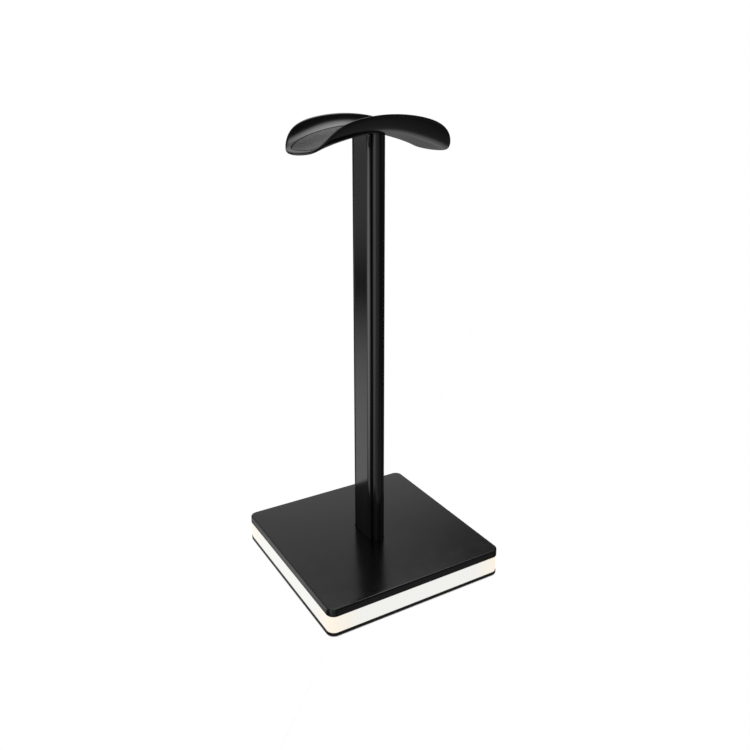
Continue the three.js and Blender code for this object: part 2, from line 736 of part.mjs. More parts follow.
addPart("saddle_shell", saddleShell(), shellBlack);
const pad = saddleSheet(PAD_OUTLINE, PAD_HALF_LENGTH, PAD_HALF_WIDTH, 0, PAD_THICKNESS);
addPart("saddle_pad", pad, padBlack);
[-SCREW_CHANNEL_Y, SCREW_CHANNEL_Y].forEach((y, i) => {
  const saddleScrew = screw(0, y, SADDLE_SCREW_SEAT, SADDLE_SCREW_HEAD, SADDLE_SCREW_TIP);
  addPart(`saddle_screw_${i + 1}`, saddleScrew, steel);
});

export default stand;
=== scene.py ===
import json
import math

import bmesh
import bpy
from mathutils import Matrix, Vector


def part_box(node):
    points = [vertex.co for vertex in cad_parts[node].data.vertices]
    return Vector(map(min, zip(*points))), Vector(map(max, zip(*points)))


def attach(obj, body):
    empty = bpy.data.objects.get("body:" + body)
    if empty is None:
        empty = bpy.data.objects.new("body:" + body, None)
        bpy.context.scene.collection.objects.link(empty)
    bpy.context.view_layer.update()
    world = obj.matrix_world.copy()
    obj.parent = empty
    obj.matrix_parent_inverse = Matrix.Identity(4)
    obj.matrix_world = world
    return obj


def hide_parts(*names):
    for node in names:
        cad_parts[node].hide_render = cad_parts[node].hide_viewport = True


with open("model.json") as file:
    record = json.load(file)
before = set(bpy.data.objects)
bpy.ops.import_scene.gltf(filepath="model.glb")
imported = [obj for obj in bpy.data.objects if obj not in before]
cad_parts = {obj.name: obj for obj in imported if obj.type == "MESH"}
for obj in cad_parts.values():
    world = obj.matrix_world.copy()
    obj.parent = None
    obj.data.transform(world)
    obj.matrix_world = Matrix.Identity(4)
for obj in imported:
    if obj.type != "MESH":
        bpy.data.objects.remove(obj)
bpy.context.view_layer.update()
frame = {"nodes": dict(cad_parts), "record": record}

STAND = "stand"
BUTTON = "button"

# ------------------------------------------------------------------ sizes, in metres

MM = 0.001
BASE_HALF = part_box("base_bottom_plate")[1].x
CORNER_RADIUS = 5 * MM
PLATE_Z0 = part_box("base_bottom_plate")[0].z
BAND_Z0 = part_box("light_band")[0].z
BAND_Z1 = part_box("light_band")[1].z
BAND_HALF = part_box("light_band")[1].x
BAND_WALL = 3 * MM
COVER_Z1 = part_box("base_top_cover")[1].z
COVER_CEILING = COVER_Z1 - 2.5 * MM
COVER_FILLET = 0.8 * MM
BOSS_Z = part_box("base_top_cover")[0].z
POST_SEAT_Z0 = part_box("post_washer_1")[1].z

POST_LOW, POST_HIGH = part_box("post")
POST_HALF_WIDTH = POST_HIGH.x
POST_NOSE = 6.6 * MM
POST_FLAT_HALF = POST_HIGH.y - POST_NOSE

BASE_SCREW_INSET = (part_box("base_screw_3")[0].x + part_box("base_screw_3")[1].x) / 2
FOOT_INSET = (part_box("foot_pad_3")[0].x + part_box("foot_pad_3")[1].x) / 2
FOOT_RADIUS = (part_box("foot_pad_3")[1].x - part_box("foot_pad_3")[0].x) / 2
FOOT_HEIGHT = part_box("foot_pad_3")[1].z
SCREW_HOLE_RADIUS = 1.7 * MM
SCREW_HEAD_ROOM = 3.1 * MM  # radius of the bores that take the screw heads
COVER_BOSS_RADIUS = 3.5 * MM
PLATE_BOSS_RADIUS = 4.5 * MM
STANDOFF_RADIUS = 3 * MM
BOARD_SCREW_HOLE_RADIUS = 1.3 * MM
SCREW_CHANNEL_Y = (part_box("post_screw_2")[0].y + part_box("post_screw_2")[1].y) / 2

SADDLE_HALF_LENGTH = 47.1 * MM
SADDLE_HALF_WIDTH = 27.9 * MM
SADDLE_ARCH_RADIUS = 78.5 * MM
SADDLE_ARCH_EASING = 0.12
SADDLE_FLOOR_Z = POST_HIGH.z + 3 * MM
SADDLE_THICKNESS = 2.4 * MM
SADDLE_RIM_THICKNESS = 1.6 * MM
SADDLE_FLOOR_HALF = 8.5 * MM
LIP_HEIGHT = 8.3 * MM
LIP_GROWTH = 0.26
LIP_POWER = 3.75
SADDLE_OUTLINE = (6, 2)
PAD_OUTLINE = (8, 3)
PAD_HALF_LENGTH = 44 * MM
PAD_HALF_WIDTH = 19.5 * MM
PAD_THICKNESS = 0.8 * MM
PAD_GAP = 0.1 * MM

BUTTON_RADIUS = 3 * MM
BUTTON_HOLE_RADIUS = 3.3 * MM
GAP = 0.3 * MM  # between neighbouring pieces
PAST = 1 * MM  # how far a cutting tool stands out past what it cuts
JOIN = 0.5 * MM  # how far a boss reaches into the piece that it joins

# ------------------------------------------------------------------ mesh helpers


def new_object(name, bm, smooth_angle=35):
    """A mesh object from a bmesh, which is used up."""
    bmesh.ops.remove_doubles(bm, verts=bm.verts, dist=1e-7)
    bmesh.ops.recalc_face_normals(bm, faces=bm.faces)
    mesh = bpy.data.meshes.new(name)
    bm.to_mesh(mesh)
    bm.free()
    obj = bpy.data.objects.new(name, mesh)
    bpy.context.scene.collection.objects.link(obj)
    shade(obj, smooth_angle)
    return obj


def shade(obj, smooth_angle=35):
    """Smooths obj except at edges sharper than smooth_angle, in degrees."""
    obj.data.shade_smooth()
    obj.data.set_sharp_from_angle(angle=math.radians(smooth_angle))


def loft(name, rings, closed=False, smooth_angle=35):
    """Joins rings of equal length. An open stack of rings is capped at both ends."""
    bm = bmesh.new()
    rows = [[bm.verts.new(p) for p in ring] for ring in rings]
    count = len(rows[0])
    pairs = list(zip(rows, rows[1:]))
    if closed:
        pairs.append((rows[-1], rows[0]))
    for low, high in pairs:
        for i in range(count):
            j = (i + 1) % count
            bm.faces.new((low[i], low[j], high[j], high[i]))
    if not closed:
        bm.faces.new(list(reversed(rows[0])))
        bm.faces.new(rows[-1])
    return new_object(name, bm, smooth_angle)


def lathe(name, profile, centre, steps=48, axis="Z"):
    """
    A solid of revolution about the line through centre along Z or Y. profile is (radius, height)
    pairs that start and end off the axis.
    """
    rings = []
    for radius, height in profile:
        ring = []
        for i in range(steps):
            turn = 2 * math.pi * i / steps
            u, v = radius * math.cos(turn), radius * math.sin(turn)
            if axis == "Z":
                ring.append((centre[0] + u, centre[1] + v, height))
            else:
                ring.append((centre[0] + u, height, centre[1] + v))
        rings.append(ring)
    return loft(name, rings)


def arc(start, end, steps):
    """Angles from start to end in degrees, both ends included, as radians."""
    return [math.radians(start + (end - start) * i / steps) for i in range(steps + 1)]


def rounded_square(half, radius, z):
    """The outline of a square with round corners, half its side from the middle, at height z."""
    steps = 14
    points = []
    inner = half - radius
    for quarter in range(4):
        cx = inner if quarter in (0, 3) else -inner
        cy = inner if quarter in (0, 1) else -inner
        for angle in arc(90 * quarter, 90 * (quarter + 1), steps):
            points.append((cx + radius * math.cos(angle), cy + radius * math.sin(angle), z))
    return points


def inset_square(inset, z):
    """The plates' outline, inset, at height z."""
    smallest_radius = 0.6 * MM
    return rounded_square(BASE_HALF - inset, max(CORNER_RADIUS - inset, smallest_radius), z)


def box_object(name, low, high):
    """A box between two corners."""
    bm = bmesh.new()
    bmesh.ops.create_cube(bm, size=1)
    for v in bm.verts:
        for k in range(3):
            v.co[k] = low[k] if v.co[k] < 0 else high[k]
    return new_object(name, bm)


def peg(name, radius, z0, z1, centre):
    """An upright cylinder."""
    return lathe(name, [(radius, z0), (radius, z1)], centre, steps=40)


def combine(target, tools, operation):
    """Joins or cuts target with the tools, which are used up."""
    for tool in tools:
        modifier = target.modifiers.new("combine", "BOOLEAN")
        modifier.operation = operation
        modifier.solver = "EXACT"
        modifier.object = tool
        depsgraph = bpy.context.evaluated_depsgraph_get()
        mesh = bpy.data.meshes.new_from_object(target.evaluated_get(depsgraph))
        target.modifiers.clear()
        old = target.data
        target.data = mesh
        bpy.data.meshes.remove(old)
        bpy.data.objects.remove(tool)
    shade(target)


def place(piece, material, slot, *nodes, body=STAND):
    """Dresses a new piece: its material, body and the CAD nodes that it stands for. slot is not used.
    """
    piece.data.materials.clear()
    piece.data.materials.append(material)
    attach(piece, body)
    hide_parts(*nodes)


def corners(distance):
    """The four places at distance from the middle in both X and Y."""
    return [(sx * distance, sy * distance) for sx, sy in ((-1, -1), (1, -1), (1, 1), (-1, 1))]


# ------------------------------------------------------------------ material helpers


class Graph:
    """A material's nodes, with short calls for the few kinds that are used here."""

    def __init__(self, name):
        self.material = bpy.data.materials.new(name)
        self.material.use_nodes = True
        self.tree = self.material.node_tree
        self.shader = self.tree.nodes["Principled BSDF"]
        self.coordinates = self.tree.nodes.new("ShaderNodeTexCoord").outputs["Object"]

    def set(self, **values):
        """Sets inputs of the shader, named with _ for each space."""
        for key, value in values.items():
            self.shader.inputs[key.replace("_", " ")].default_value = value

    def link(self, output, socket):
        """Links output to an input of the shader."""
        self.tree.links.new(output, self.shader.inputs[socket])

    def noise(self, scale, stretch=(1, 1, 1), detail=3.0, roughness=0.55):
        mapping = self.tree.nodes.new("ShaderNodeMapping")
        mapping.inputs["Scale"].default_value = stretch
        self.tree.links.new(self.coordinates, mapping.inputs["Vector"])
        node = self.tree.nodes.new("ShaderNodeTexNoise")
        node.inputs["Scale"].default_value = scale
        node.inputs["Detail"].default_value = detail
        node.inputs["Roughness"].default_value = roughness
        self.tree.links.new(mapping.outputs["Vector"], node.inputs["Vector"])
        return node.outputs["Fac"]

    def ramp(self, factor, low, high, start=0.3, end=0.7):
        """A colour that goes from low to high while factor goes from start to end."""
        node = self.tree.nodes.new("ShaderNodeValToRGB")
        first, last = node.color_ramp.elements
        first.position, last.position = start, end
        first.color, last.color = (*low, 1), (*high, 1)
        self.tree.links.new(factor, node.inputs["Fac"])
        return node.outputs["Color"]

    def span(self, factor, low, high, start=0.3, end=0.7):
        """A value that goes from low to high while factor goes from start to end."""
        node = self.tree.nodes.new("ShaderNodeMapRange")
        node.inputs["From Min"].default_value = start
        node.inputs["From Max"].default_value = end
        node.inputs["To Min"].default_value = low
        node.inputs["To Max"].default_value = high
        self.tree.links.new(factor, node.inputs["Value"])
        return node.outputs["Result"]

    def math(self, operation, first, second):
        node = self.tree.nodes.new("ShaderNodeMath")
        node.operation = operation
        for socket, value in zip(node.inputs, (first, second)):
            if isinstance(value, (int, float)):
                socket.default_value = value
            else:
                self.tree.links.new(value, socket)
        return node.outputs["Value"]

    def axis(self, name):
        """The object coordinate along X, Y or Z."""
        node = self.tree.nodes.new("ShaderNodeSeparateXYZ")
        self.tree.links.new(self.coordinates, node.inputs["Vector"])
        return node.outputs[name]

    def bump(self, height, distance):
        node = self.tree.nodes.new("ShaderNodeBump")
        node.inputs["Strength"].default_value = 1
        node.inputs["Distance"].default_value = distance
        self.tree.links.new(height, node.inputs["Height"])
        self.link(node.outputs["Normal"], "Normal")


def grey(value):
    """A grey with a trace of blue."""
    return (value, value, value * 1.01)


def moulded_plastic(name, shade_low, shade_high, rough_low, rough_high, grain=0.006 * MM):
    """Moulded plastic: a fine spark-eroded grain and faint cloudy variation in gloss."""
    graph = Graph(name)
    clouds = graph.noise(60, detail=2)
    graph.link(graph.ramp(clouds, grey(shade_low), grey(shade_high)), "Base Color")
    graph.link(graph.span(graph.noise(90, detail=4), rough_low, rough_high), "Roughness")
    graph.bump(graph.noise(4500, detail=2), grain)
    return graph.material


def brushed_anodised():
    """Black anodised aluminium, brushed along the post."""
    graph = Graph("black_anodised")
    streaks = graph.noise(1, stretch=(2600, 2600, 14), detail=5, roughness=0.7)
    graph.link(graph.ramp(streaks, grey(0.006), grey(0.012)), "Base Color")
    graph.link(graph.span(streaks, 0.1, 0.14), "Roughness")
    graph.bump(streaks, 0.008 * MM)
    return graph.material


def lit_diffuser():
    """Frosted plastic lit from inside: warmer and brighter towards the corners."""
    graph = Graph("lit_diffuser")
    reach_x = graph.math("ABSOLUTE", graph.axis("X"), 0)
    reach_y = graph.math("ABSOLUTE", graph.axis("Y"), 0)
    both = graph.math("MINIMUM", reach_x, reach_y)
    towards_corner = graph.span(both, 0, 1, 20 * MM, BAND_HALF - 1 * MM)
    glow = graph.ramp(towards_corner, (0.84, 0.84, 0.81), (0.95, 0.86, 0.73), 0.5, 1.0)
    graph.link(glow, "Emission Color")
    graph.set(Emission_Strength=1.0, Roughness=0.45, Base_Color=(0.1, 0.1, 0.1, 1))
    graph.bump(graph.noise(2500), 0.004 * MM)
    return graph.material


def soft_rubber(name, shade_value, rough, grain=0.01 * MM):
    """Rubber with a slight mottle."""
    graph = Graph(name)
    mottle = graph.ramp(graph.noise(150), grey(shade_value * 0.85), grey(shade_value * 1.15))
    graph.link(mottle, "Base Color")
    graph.link(graph.span(graph.noise(300), rough - 0.05, rough + 0.05), "Roughness")
    graph.bump(graph.noise(3000), grain)
    return graph.material


def plated_steel():
    """Zinc-plated steel with cloudy spots."""
    graph = Graph("plated_steel")
    spots = graph.noise(900, detail=4)
    graph.link(graph.ramp(spots, (0.42, 0.43, 0.45), (0.58, 0.58, 0.6)), "Base Color")
    graph.link(graph.span(spots, 0.25, 0.4), "Roughness")
    graph.set(Metallic=1.0)
    graph.bump(spots, 0.004 * MM)
    return graph.material


def plain_plastic(name, low, high, rough):
    """Plastic of one colour, from low to high."""
    graph = Graph(name)
    graph.link(graph.ramp(graph.noise(200), low, high), "Base Color")
    graph.link(graph.span(graph.noise(400), rough - 0.04, rough + 0.04), "Roughness")
    graph.bump(graph.noise(2500), 0.005 * MM)
    return graph.material


COVER_BLACK = moulded_plastic("satin_black_cover", 0.004, 0.006, 0.16, 0.21)
SADDLE_BLACK = moulded_plastic("satin_black_saddle", 0.004, 0.006, 0.15, 0.19, 0.004 * MM)
PAD_BLACK = soft_rubber("soft_touch_liner", 0.01, 0.26, 0.001 * MM)
POST_BLACK = brushed_anodised()
BAND_GLOW = lit_diffuser()
FOOT_RUBBER = soft_rubber("foot_rubber", 0.02, 0.8)
STEEL = plated_steel()
BUTTON_BLACK = moulded_plastic("satin_black_button", 0.012, 0.016, 0.3, 0.36)

# ------------------------------------------------------------------ the post's section


def post_outline(z, grow=0.0, grooved=True):
    """
    The post's outline at height z: flat sides, and a round nose at either end with two grooves
    and with a fine line at each flat. Angles are in degrees round a nose.
    """
    groove_angle, groove_half, groove_depth = 40, 9, 1.5 * MM
    groove_flatness = 1.8  # 1 is a cosine groove, more gives it a flat bottom
    line_angle, line_half, line_depth = 3, 1.6, 0.3 * MM

    def inset(degrees):
        if not grooved:
            return 0
        from_middle = min(abs(degrees - groove_angle), abs(degrees - (180 - groove_angle)))
        if from_middle < groove_half:
            wave = 0.5 + 0.5 * math.cos(math.pi * from_middle / groove_half)
            return groove_depth * min(1, groove_flatness * wave)
        from_flat = min(abs(degrees - line_angle), abs(degrees - (180 - line_angle)))
        if from_flat < line_half:
            return line_depth * (1 - from_flat / line_half)
        return 0

    points = []
    for side in (1, -1):
        for degrees in range(181):
            angle = math.radians(degrees)
            depth = inset(degrees)
            x = -side * (POST_HALF_WIDTH + grow - depth) * math.cos(angle)
            y = -side * (POST_FLAT_HALF + (POST_NOSE + grow - depth) * math.sin(angle))
            points.append((x, y, z))
    return points


def post_solid(name, z0, z1, grow=0.0, grooved=True, chamfer=0.0):
    """A length of the post, or of a shape that stands grow past it."""
    rings = [post_outline(z0, grow - chamfer, grooved)]
    if chamfer:
        rings.append(post_outline(z0 + chamfer, grow, grooved))
        rings.append(post_outline(z1 - chamfer, grow, grooved))
    rings.append(post_outline(z1, grow - chamfer, grooved))
    return loft(name, rings)


# ------------------------------------------------------------------ the saddle's surface


def saddle_point(along, across, offset):
    """
    A point of the saddle. along is X and across is Y on the channel's surface, and offset is the
    distance from it, upwards. The surface is an arch along X whose long edges flare up into lips.
    """
    tip = (along / SADDLE_HALF_LENGTH) ** 2
    drop = along**2 / (2 * SADDLE_ARCH_RADIUS) * (1 - SADDLE_ARCH_EASING * tip)
    turn = math.atan(along / SADDLE_ARCH_RADIUS * (1 - 2 * SADDLE_ARCH_EASING * tip))
    flare = SADDLE_HALF_WIDTH - SADDLE_FLOOR_HALF
    reach = max(abs(across) - SADDLE_FLOOR_HALF, 0) / flare
    height = LIP_HEIGHT * (1 + LIP_GROWTH * tip)
    slope = height * LIP_POWER * reach ** (LIP_POWER - 1) / flare
    tilt = math.copysign(math.atan(slope), across)
    rise = height * reach**LIP_POWER + offset * math.cos(tilt)
    return (
        along + rise * math.sin(turn),
        across - offset * math.sin(tilt),
        SADDLE_FLOOR_Z - drop + rise * math.cos(turn),
    )


def saddle_sheet(name, outline, half_length, half_width, profile):
    """
    A sheet bent to the saddle, with a superellipse outline of the exponents in outline. profile
    is (ring, offset) pairs, from the middle of one face round the edge to the middle of the other,
    where ring goes from 0 at the middle to 1 at the outline.
    """
    steps = 200
    along_power, across_power = outline
    rings = []
    for ring, offset in profile:
        row = []
        for i in range(steps):
            angle = 2 * math.pi * (i + 0.5) / steps
            along = math.cos(angle)
            side = (1 - abs(along) ** along_power) ** (1 / across_power)
            across = math.copysign(side, math.sin(angle))
            row.append(
                saddle_point(ring * along * half_length, ring * across * half_width, offset)
            )
        rings.append(row)
    return loft(name, rings, smooth_angle=50)


def face_rings(rim, count):
    """Where a sheet's rings lie on its faces, from near the middle to its rim's width inside 1."""
    return [(1 - rim) * (i + 0.5) / (count + 0.5) for i in range(count + 1)]


def smoothstep(value, low, high):
    """0 up to low, 1 from high on, and a smooth step between them."""
    share = min(max((value - low) / (high - low), 0), 1)
    return share * share * (3 - 2 * share)


# ------------------------------------------------------------------ base


def build_cover():
    skirt, edge, ceiling, z0, z1 = 2 * MM, 0.2 * MM, COVER_CEILING, BAND_Z1, COVER_Z1
    rings = [inset_square(skirt, ceiling), inset_square(skirt, z0)]
    rings += [inset_square(edge, z0), inset_square(0, z0 + edge)]
    for angle in arc(0, 90, 8):
        inset = COVER_FILLET * (1 - math.cos(angle))
        rings.append(inset_square(inset, z1 - COVER_FILLET + COVER_FILLET * math.sin(angle)))
    cover = loft("base_cover_shell", rings)
    over = ceiling + JOIN
    lip_z0 = z0 - 1 * MM
    lip_outer = BAND_HALF - BAND_WALL - GAP
    lip_inner = lip_outer - 1.5 * MM
    outer_radius, inner_radius = 2.5 * MM, 1 * MM
    lip = loft(
        "lip",
        [
            rounded_square(lip_outer, outer_radius, lip_z0),
            rounded_square(lip_outer, outer_radius, over),
            rounded_square(lip_inner, inner_radius, over),
            rounded_square(lip_inner, inner_radius, lip_z0),
        ],
        closed=True,
    )
    seat_x, seat_y = 8 * MM, 18 * MM
    seat = box_object("seat", (-seat_x, -seat_y, POST_SEAT_Z0), (seat_x, seat_y, over))
    places = corners(BASE_SCREW_INSET)
    bosses = [peg("boss", COVER_BOSS_RADIUS, BOSS_Z, over, spot) for spot in places]
    combine(cover, [lip, seat, *bosses], "UNION")
    hole_top = ceiling - 0.5 * MM
    holes = [
        peg("hole", SCREW_HOLE_RADIUS, BOSS_Z - PAST, hole_top, spot) for spot in places
    ]
    pocket = post_solid("pocket", POST_LOW.z, z1 + PAST, grow=GAP, grooved=False)
    for y in (-SCREW_CHANNEL_Y, SCREW_CHANNEL_Y):
        holes.append(peg("hole", SCREW_HOLE_RADIUS, POST_SEAT_Z0 - PAST, z1, (0, y)))
    combine(cover, [pocket, *holes], "DIFFERENCE")
    place(cover, COVER_BLACK, "cover", "base_top_cover")


def build_band():
    edge = 0.2 * MM
    inner = BAND_HALF - BAND_WALL
    outer_radius = CORNER_RADIUS - (BASE_HALF - BAND_HALF)
    inner_radius = outer_radius - BAND_WALL
    outer = [(BAND_HALF - edge, BAND_Z0), (BAND_HALF, BAND_Z0 + edge)]
    outer += [(BAND_HALF, BAND_Z1 - edge), (BAND_HALF - edge, BAND_Z1)]
    rings = [rounded_square(half, outer_radius, z) for half, z in outer]
    rings.append(rounded_square(inner, inner_radius, BAND_Z1))
    rings.append(rounded_square(inner, inner_radius, BAND_Z0))
    band = loft("glowing_band", rings, closed=True)
    low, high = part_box("power_inlet")
    y0, y1 = inner - PAST, BASE_HALF + PAST
    slot_tool = oblong("slot", low, high, GAP, y0, y1)
    low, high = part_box("mode_button")
    middle = (low + high) / 2
    hole_profile = [(BUTTON_HOLE_RADIUS, y0), (BUTTON_HOLE_RADIUS, y1)]
    hole_tool = lathe("hole", hole_profile, (middle.x, middle.z), axis="Y")
    combine(band, [slot_tool, hole_tool], "DIFFERENCE")
    place(band, BAND_GLOW, "light_band", "light_band")


def oblong(name, low, high, grow, y0, y1, shrink_ends=0.0):
    """
    A bar from y0 to y1 with an oblong section, grown by grow from the XZ box of low and high.
    Its ends are chamfered by shrink_ends.
    """
    radius = (high.z - low.z) / 2 + grow
    reach = (high.x - low.x) / 2 + grow - radius
    cx, cz = (low.x + high.x) / 2, (low.z + high.z) / 2

    def ring(y, less):
        size = radius - less
        points = []
        for side, start in ((1, -90), (-1, 90)):
            for angle in arc(start, start + 180, 12):
                x = cx + side * reach + size * math.cos(angle)
                points.append((x, y, cz + size * math.sin(angle)))
        return points

    if shrink_ends:
        stations = [(y0, shrink_ends), (y0 + shrink_ends, 0), (y1 - shrink_ends, 0)]
        stations.append((y1, shrink_ends))
    else:
        stations = [(y0, 0), (y1, 0)]
    return loft(name, [ring(y, less) for y, less in stations])


def build_bottom_plate():
    z0, z1, fillet, edge = PLATE_Z0, BAND_Z0, 0.4 * MM, 0.15 * MM
    rings = []
    for angle in arc(-90, 0, 5):
        inset = fillet * (1 - math.cos(angle))
        rings.append(inset_square(inset, z0 + fillet + fillet * math.sin(angle)))
    rings.append(inset_square(0, z1 - edge))
    rings.append(inset_square(edge, z1))
    plate = loft("base_bottom_shell", rings)
    sunk = z1 - JOIN
    screws = corners(BASE_SCREW_INSET)
    bosses = [peg("boss", PLATE_BOSS_RADIUS, sunk, BOSS_Z, spot) for spot in screws]
    standoff_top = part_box("control_board")[0].z
    boxes = [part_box("board_screw_1"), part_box("board_screw_2")]
    board_screws = [((low.x + high.x) / 2, (low.y + high.y) / 2) for low, high in boxes]
    bosses += [peg("boss", STANDOFF_RADIUS, sunk, standoff_top, spot) for spot in board_screws]
    combine(plate, bosses, "UNION")
    tools = [peg("bore", SCREW_HEAD_ROOM, -z0, z1, spot) for spot in screws]
    tools += [peg("hole", SCREW_HOLE_RADIUS, 0, BOSS_Z + PAST, spot) for spot in screws]
    pilot_low, pilot_high = z0 + 1 * MM, standoff_top + PAST
    tools += [
        peg("pilot", BOARD_SCREW_HOLE_RADIUS, pilot_low, pilot_high, spot) for spot in board_screws
    ]
    tools += [peg("pocket", FOOT_RADIUS + GAP, -z0, FOOT_HEIGHT, spot) for spot in corners(FOOT_INSET)]
    combine(plate, tools, "DIFFERENCE")
    place(plate, COVER_BLACK, "cover", "base_bottom_plate")


def build_feet():
    round_off, edge = 0.3 * MM, 0.1 * MM
    for i, centre in enumerate(corners(FOOT_INSET)):
        profile = [(FOOT_RADIUS * 0.6, 0)]
        for angle in arc(0, 90, 5):
            radius = FOOT_RADIUS - round_off * (1 - math.sin(angle))
            profile.append((radius, round_off * (1 - math.cos(angle))))
        profile.append((FOOT_RADIUS, FOOT_HEIGHT - edge))
        profile.append((FOOT_RADIUS - edge, FOOT_HEIGHT))
        foot = lathe(f"rubber_foot_{i + 1}", profile, centre, steps=64)
        place(foot, FOOT_RUBBER, "foot", f"foot_pad_{i + 1}")


# ------------------------------------------------------------------ post and saddle


def build_post():
    post = post_solid("brushed_post", POST_LOW.z, POST_HIGH.z, chamfer=0.15 * MM)
    core_radius = 3.2 * MM
    low, high = POST_LOW.z - PAST, POST_HIGH.z + PAST
    holes = [
        peg("channel", SCREW_HOLE_RADIUS, low, high, (0, y))
        for y in (-SCREW_CHANNEL_Y, SCREW_CHANNEL_Y)
    ]
    holes.append(peg("core", core_radius, low, high, (0, 0)))
    combine(post, holes, "DIFFERENCE")
    place(post, POST_BLACK, "post", "post")


def build_saddle():
    half_rim = SADDLE_RIM_THICKNESS / 2
    rim = half_rim / SADDLE_HALF_WIDTH
    rows = face_rings(rim, 44)

    def thickness(ring):
        towards_edge = smoothstep(ring, 0.55, 0.95)
        return SADDLE_THICKNESS + (SADDLE_RIM_THICKNESS - SADDLE_THICKNESS) * towards_edge

    profile = [(ring, -thickness(ring)) for ring in rows]
    for angle in arc(-90, 90, 12)[1:-1]:
        profile.append((1 - rim + rim * math.cos(angle), half_rim * (math.sin(angle) - 1)))
    profile += [(ring, 0) for ring in reversed(rows)]
    shell = saddle_sheet(
        "saddle_channel", SADDLE_OUTLINE, SADDLE_HALF_LENGTH, SADDLE_HALF_WIDTH, profile
    )
    seat = post_solid("seat", POST_HIGH.z, SADDLE_FLOOR_Z - 1.5 * MM)
    combine(shell, [seat], "UNION")
    deep = PAD_THICKNESS + PAD_GAP
    shares = [i / 20 for i in range(1, 21)]
    recess = saddle_sheet(
        "recess",
        PAD_OUTLINE,
        PAD_HALF_LENGTH + PAD_GAP,
        PAD_HALF_WIDTH + PAD_GAP,
        [(share, -deep) for share in shares] + [(share, deep) for share in reversed(shares)],
    )
    tools = [recess]
    screw_head = 1 * MM
    head_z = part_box("saddle_screw_1")[1].z - screw_head
    for y in (-SCREW_CHANNEL_Y, SCREW_CHANNEL_Y):
        low, high = POST_HIGH.z - PAST, SADDLE_FLOOR_Z + PAST
        tools.append(peg("hole", SCREW_HOLE_RADIUS, low, high, (0, y)))
        tools.append(peg("bore", SCREW_HEAD_ROOM, head_z, high, (0, y)))
    combine(shell, tools, "DIFFERENCE")
    place(shell, SADDLE_BLACK, "saddle", "saddle_shell")


def build_pad():
    round_off = 0.6 * MM
    rim = round_off / PAD_HALF_WIDTH
    rows = face_rings(rim, 30)
    profile = [(ring, -PAD_THICKNESS) for ring in rows]
    profile.append((1, -PAD_THICKNESS))
    for angle in arc(0, 90, 6)[:-1]:
        ring = 1 - rim + rim * math.cos(angle)
        profile.append((ring, round_off * (math.sin(angle) - 1)))
    profile += [(ring, 0) for ring in reversed(rows)]
    pad = saddle_sheet("channel_liner", PAD_OUTLINE, PAD_HALF_LENGTH, PAD_HALF_WIDTH, profile)
    place(pad, PAD_BLACK, "pad", "saddle_pad")


# ------------------------------------------------------------------ rear controls


def build_inlet():
    low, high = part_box("power_inlet")
    wall, edge = 0.35 * MM, 0.12 * MM
    shell = oblong("inlet_shell", low, high, 0, low.y, high.y, shrink_ends=edge)
    mouth = oblong("mouth", low, high, -wall, low.y + 1 * MM, high.y + PAST)
    combine(shell, [mouth], "DIFFERENCE")
    middle = (low.z + high.z) / 2
    tongue_half_width, tongue_half_height = 3.3 * MM, 0.35 * MM
    tongue_low = (-tongue_half_width, low.y + JOIN, middle - tongue_half_height)
    tongue_high = (tongue_half_width, high.y - 1 * MM, middle + tongue_half_height)
    combine(shell, [box_object("tongue", tongue_low, tongue_high)], "UNION")
    place(shell, STEEL, "steel", "power_inlet")


def build_button():
    low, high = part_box("mode_button")
    x, z = (low.x + high.x) / 2, (low.z + high.z) / 2
    flange_y0 = BAND_HALF - BAND_WALL - 1.1 * MM
    flange_y1 = flange_y0 + 1 * MM
    face, stem, flange = high.y, 1.2 * MM, 3.7 * MM
    profile = [(stem, low.y), (stem, flange_y0), (flange, flange_y0)]
    profile += [(flange, flange_y1), (BUTTON_RADIUS, flange_y1)]
    edge, dish = 0.35 * MM, 0.25 * MM
    for angle in arc(0, 90, 5):
        radius = BUTTON_RADIUS - edge * (1 - math.cos(angle))
        profile.append((radius, face - edge * (1 - math.sin(angle))))
    for i in range(7, 0, -1):
        share = i / 8
        profile.append((share * (BUTTON_RADIUS - edge), face - dish * (1 - share**2)))
    button = lathe("mode_button_cap", profile, (x, z), steps=64, axis="Y")
    place(button, BUTTON_BLACK, "button", "mode_button", body=BUTTON)


# ------------------------------------------------------------------ carried-over CAD nodes


def dress_carried_nodes():
    """Gives the CAD nodes that still show their procedural materials."""
    white = ("white_plastic", (0.74, 0.74, 0.72), (0.82, 0.82, 0.8), 0.45)
    black = ("switch_black", (0.02, 0.02, 0.02), (0.035, 0.035, 0.035), 0.5)
    board = ("solder_mask", (0.012, 0.07, 0.035), (0.02, 0.1, 0.05), 0.3)
    strip = ("led_strip_white", (0.75, 0.7, 0.5), (0.85, 0.8, 0.6), 0.4)
    lead = ("lead_insulation", (0.3, 0.02, 0.02), (0.38, 0.03, 0.03), 0.4)
    by_slot = {
        "steel": STEEL,
        "white_plastic": plain_plastic(*white),
        "switch": plain_plastic(*black),
        "board": plain_plastic(*board),
        "led_strip": plain_plastic(*strip),
        "lead": plain_plastic(*lead),
    }
    for row in frame["record"]["subparts"]:
        slot = row["material_slot"]
        if slot in by_slot:
            materials = frame["nodes"][row["node"]].data.materials
            materials.clear()
            materials.append(by_slot[slot])


# ------------------------------------------------------------------ stage, light and camera


def direction(azimuth, elevation):
    """A unit vector. Azimuth 0 is the front, -Y, and 90 is the left, -X."""
    turn, rise = math.radians(azimuth), math.radians(elevation)
    return (-math.sin(turn) * math.cos(rise), -math.cos(turn) * math.cos(rise), math.sin(rise))


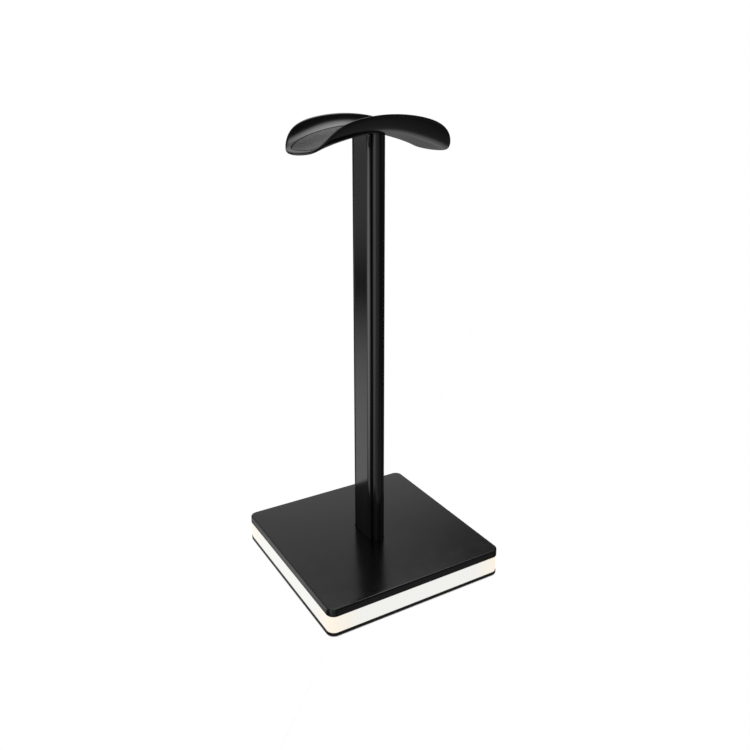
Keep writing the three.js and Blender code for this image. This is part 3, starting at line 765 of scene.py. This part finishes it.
def build_world():
    """
    A studio as the object sees it: patches of light that fade from an inner to an outer angle
    round their directions, over a faint ambient light. The camera sees plain white.
    """
    world = bpy.data.worlds.new("studio")
    bpy.context.scene.world = world
    world.use_nodes = True
    tree = world.node_tree
    background = tree.nodes["Background"]
    background.inputs["Color"].default_value = (1, 1, 1, 1)
    coordinates = tree.nodes.new("ShaderNodeTexCoord").outputs["Generated"]
    ambient = 0.05
    patches = [
        # azimuth, elevation, inner and outer half angle in degrees, strength
        (201, 20, 8, 28, 0.56),
        (189, 47, 5, 14, 0.6),
        (222, 65, 3, 25, 2.9),
        (216, 48, 3, 12, 0.5),
        (122, -14, 8, 20, 2.0),
        (66, -6, 5, 36, 0.95),
        (40, -6, 10, 60, 0.38),
        (150, -27, 2, 14, 0.85),
        (150, -4, 3, 10, 0.28),
        (146, 12, 4, 16, 1.4),
        (209, -41, 6, 22, 0.34),
        (209, -18, 5, 16, 0.12),
        (328, -33, 4, 16, 0.18),
        (250, -62, 10, 45, 0.1),
        (30, 30, 10, 30, 0.45),
        (300, 22, 10, 30, 0.4),
        (125, 38, 8, 30, 0.4),
    ]
    total = None
    for azimuth, elevation, inner, outer, strength in patches:
        dot = tree.nodes.new("ShaderNodeVectorMath")
        dot.operation = "DOT_PRODUCT"
        dot.inputs[1].default_value = direction(azimuth, elevation)
        tree.links.new(coordinates, dot.inputs[0])
        fade = tree.nodes.new("ShaderNodeMapRange")
        fade.interpolation_type = "SMOOTHSTEP"
        fade.inputs["From Min"].default_value = math.cos(math.radians(outer))
        fade.inputs["From Max"].default_value = math.cos(math.radians(inner))
        fade.inputs["To Max"].default_value = strength
        tree.links.new(dot.outputs["Value"], fade.inputs["Value"])
        plus = tree.nodes.new("ShaderNodeMath")
        plus.operation = "ADD"
        tree.links.new(fade.outputs["Result"], plus.inputs[0])
        if total is None:
            plus.inputs[1].default_value = ambient
        else:
            tree.links.new(total, plus.inputs[1])
        total = plus.outputs["Value"]
    seen = tree.nodes.new("ShaderNodeLightPath").outputs["Is Camera Ray"]
    pick = tree.nodes.new("ShaderNodeMix")
    pick.data_type = "FLOAT"
    pick.inputs["B"].default_value = 1.0
    tree.links.new(seen, pick.inputs["Factor"])
    tree.links.new(total, pick.inputs["A"])
    tree.links.new(pick.outputs["Result"], background.inputs["Strength"])


def build_floor():
    """A plain pale floor that only the camera sees, with a painted contact shadow: its glow is dimmed
    close under an edge.
    """
    half_size = 40
    bm = bmesh.new()
    bmesh.ops.create_grid(bm, x_segments=1, y_segments=1, size=half_size)
    floor = new_object("floor", bm)
    graph = Graph("pale_floor")
    graph.set(Base_Color=(0, 0, 0, 1), Roughness=0.9, Specular_IOR_Level=0.0)
    graph.set(Emission_Color=(1, 1, 1, 1))
    # Painted shadow: ambient occlusion dims the floor's emission near the base, where no lamp casts
    # it.
    painted_shadow_occlusion = graph.tree.nodes.new("ShaderNodeAmbientOcclusion")
    painted_shadow_occlusion.samples = 8
    painted_shadow_occlusion.inputs["Distance"].default_value = 6 * MM
    graph.link(graph.span(painted_shadow_occlusion.outputs["AO"], 0.02, 1.0, 0.1, 0.5), "Emission Strength")
    floor.data.materials.append(graph.material)
    floor.visible_glossy = False
    floor.visible_diffuse = False
    floor.visible_transmission = False


def build_camera():
    data = bpy.data.cameras.new("camera")
    camera = bpy.data.objects.new("camera", data)
    bpy.context.scene.collection.objects.link(camera)
    camera.location = (-0.21849, -0.37632, 0.28746)
    turn_right, tilt_down = 0.53465, 0.27544
    camera.rotation_euler = (math.pi / 2 - tilt_down, 0, -turn_right)
    data.sensor_width = 36
    data.lens = 36.043
    data.shift_y = -0.08
    data.clip_start = 0.01
    bpy.context.scene.camera = camera


bpy.context.scene.view_settings.view_transform = "Standard"
build_camera()
build_world()
build_floor()
build_cover()
build_band()
build_bottom_plate()
build_feet()
build_post()
build_saddle()
build_pad()
build_inlet()
build_button()
dress_carried_nodes()
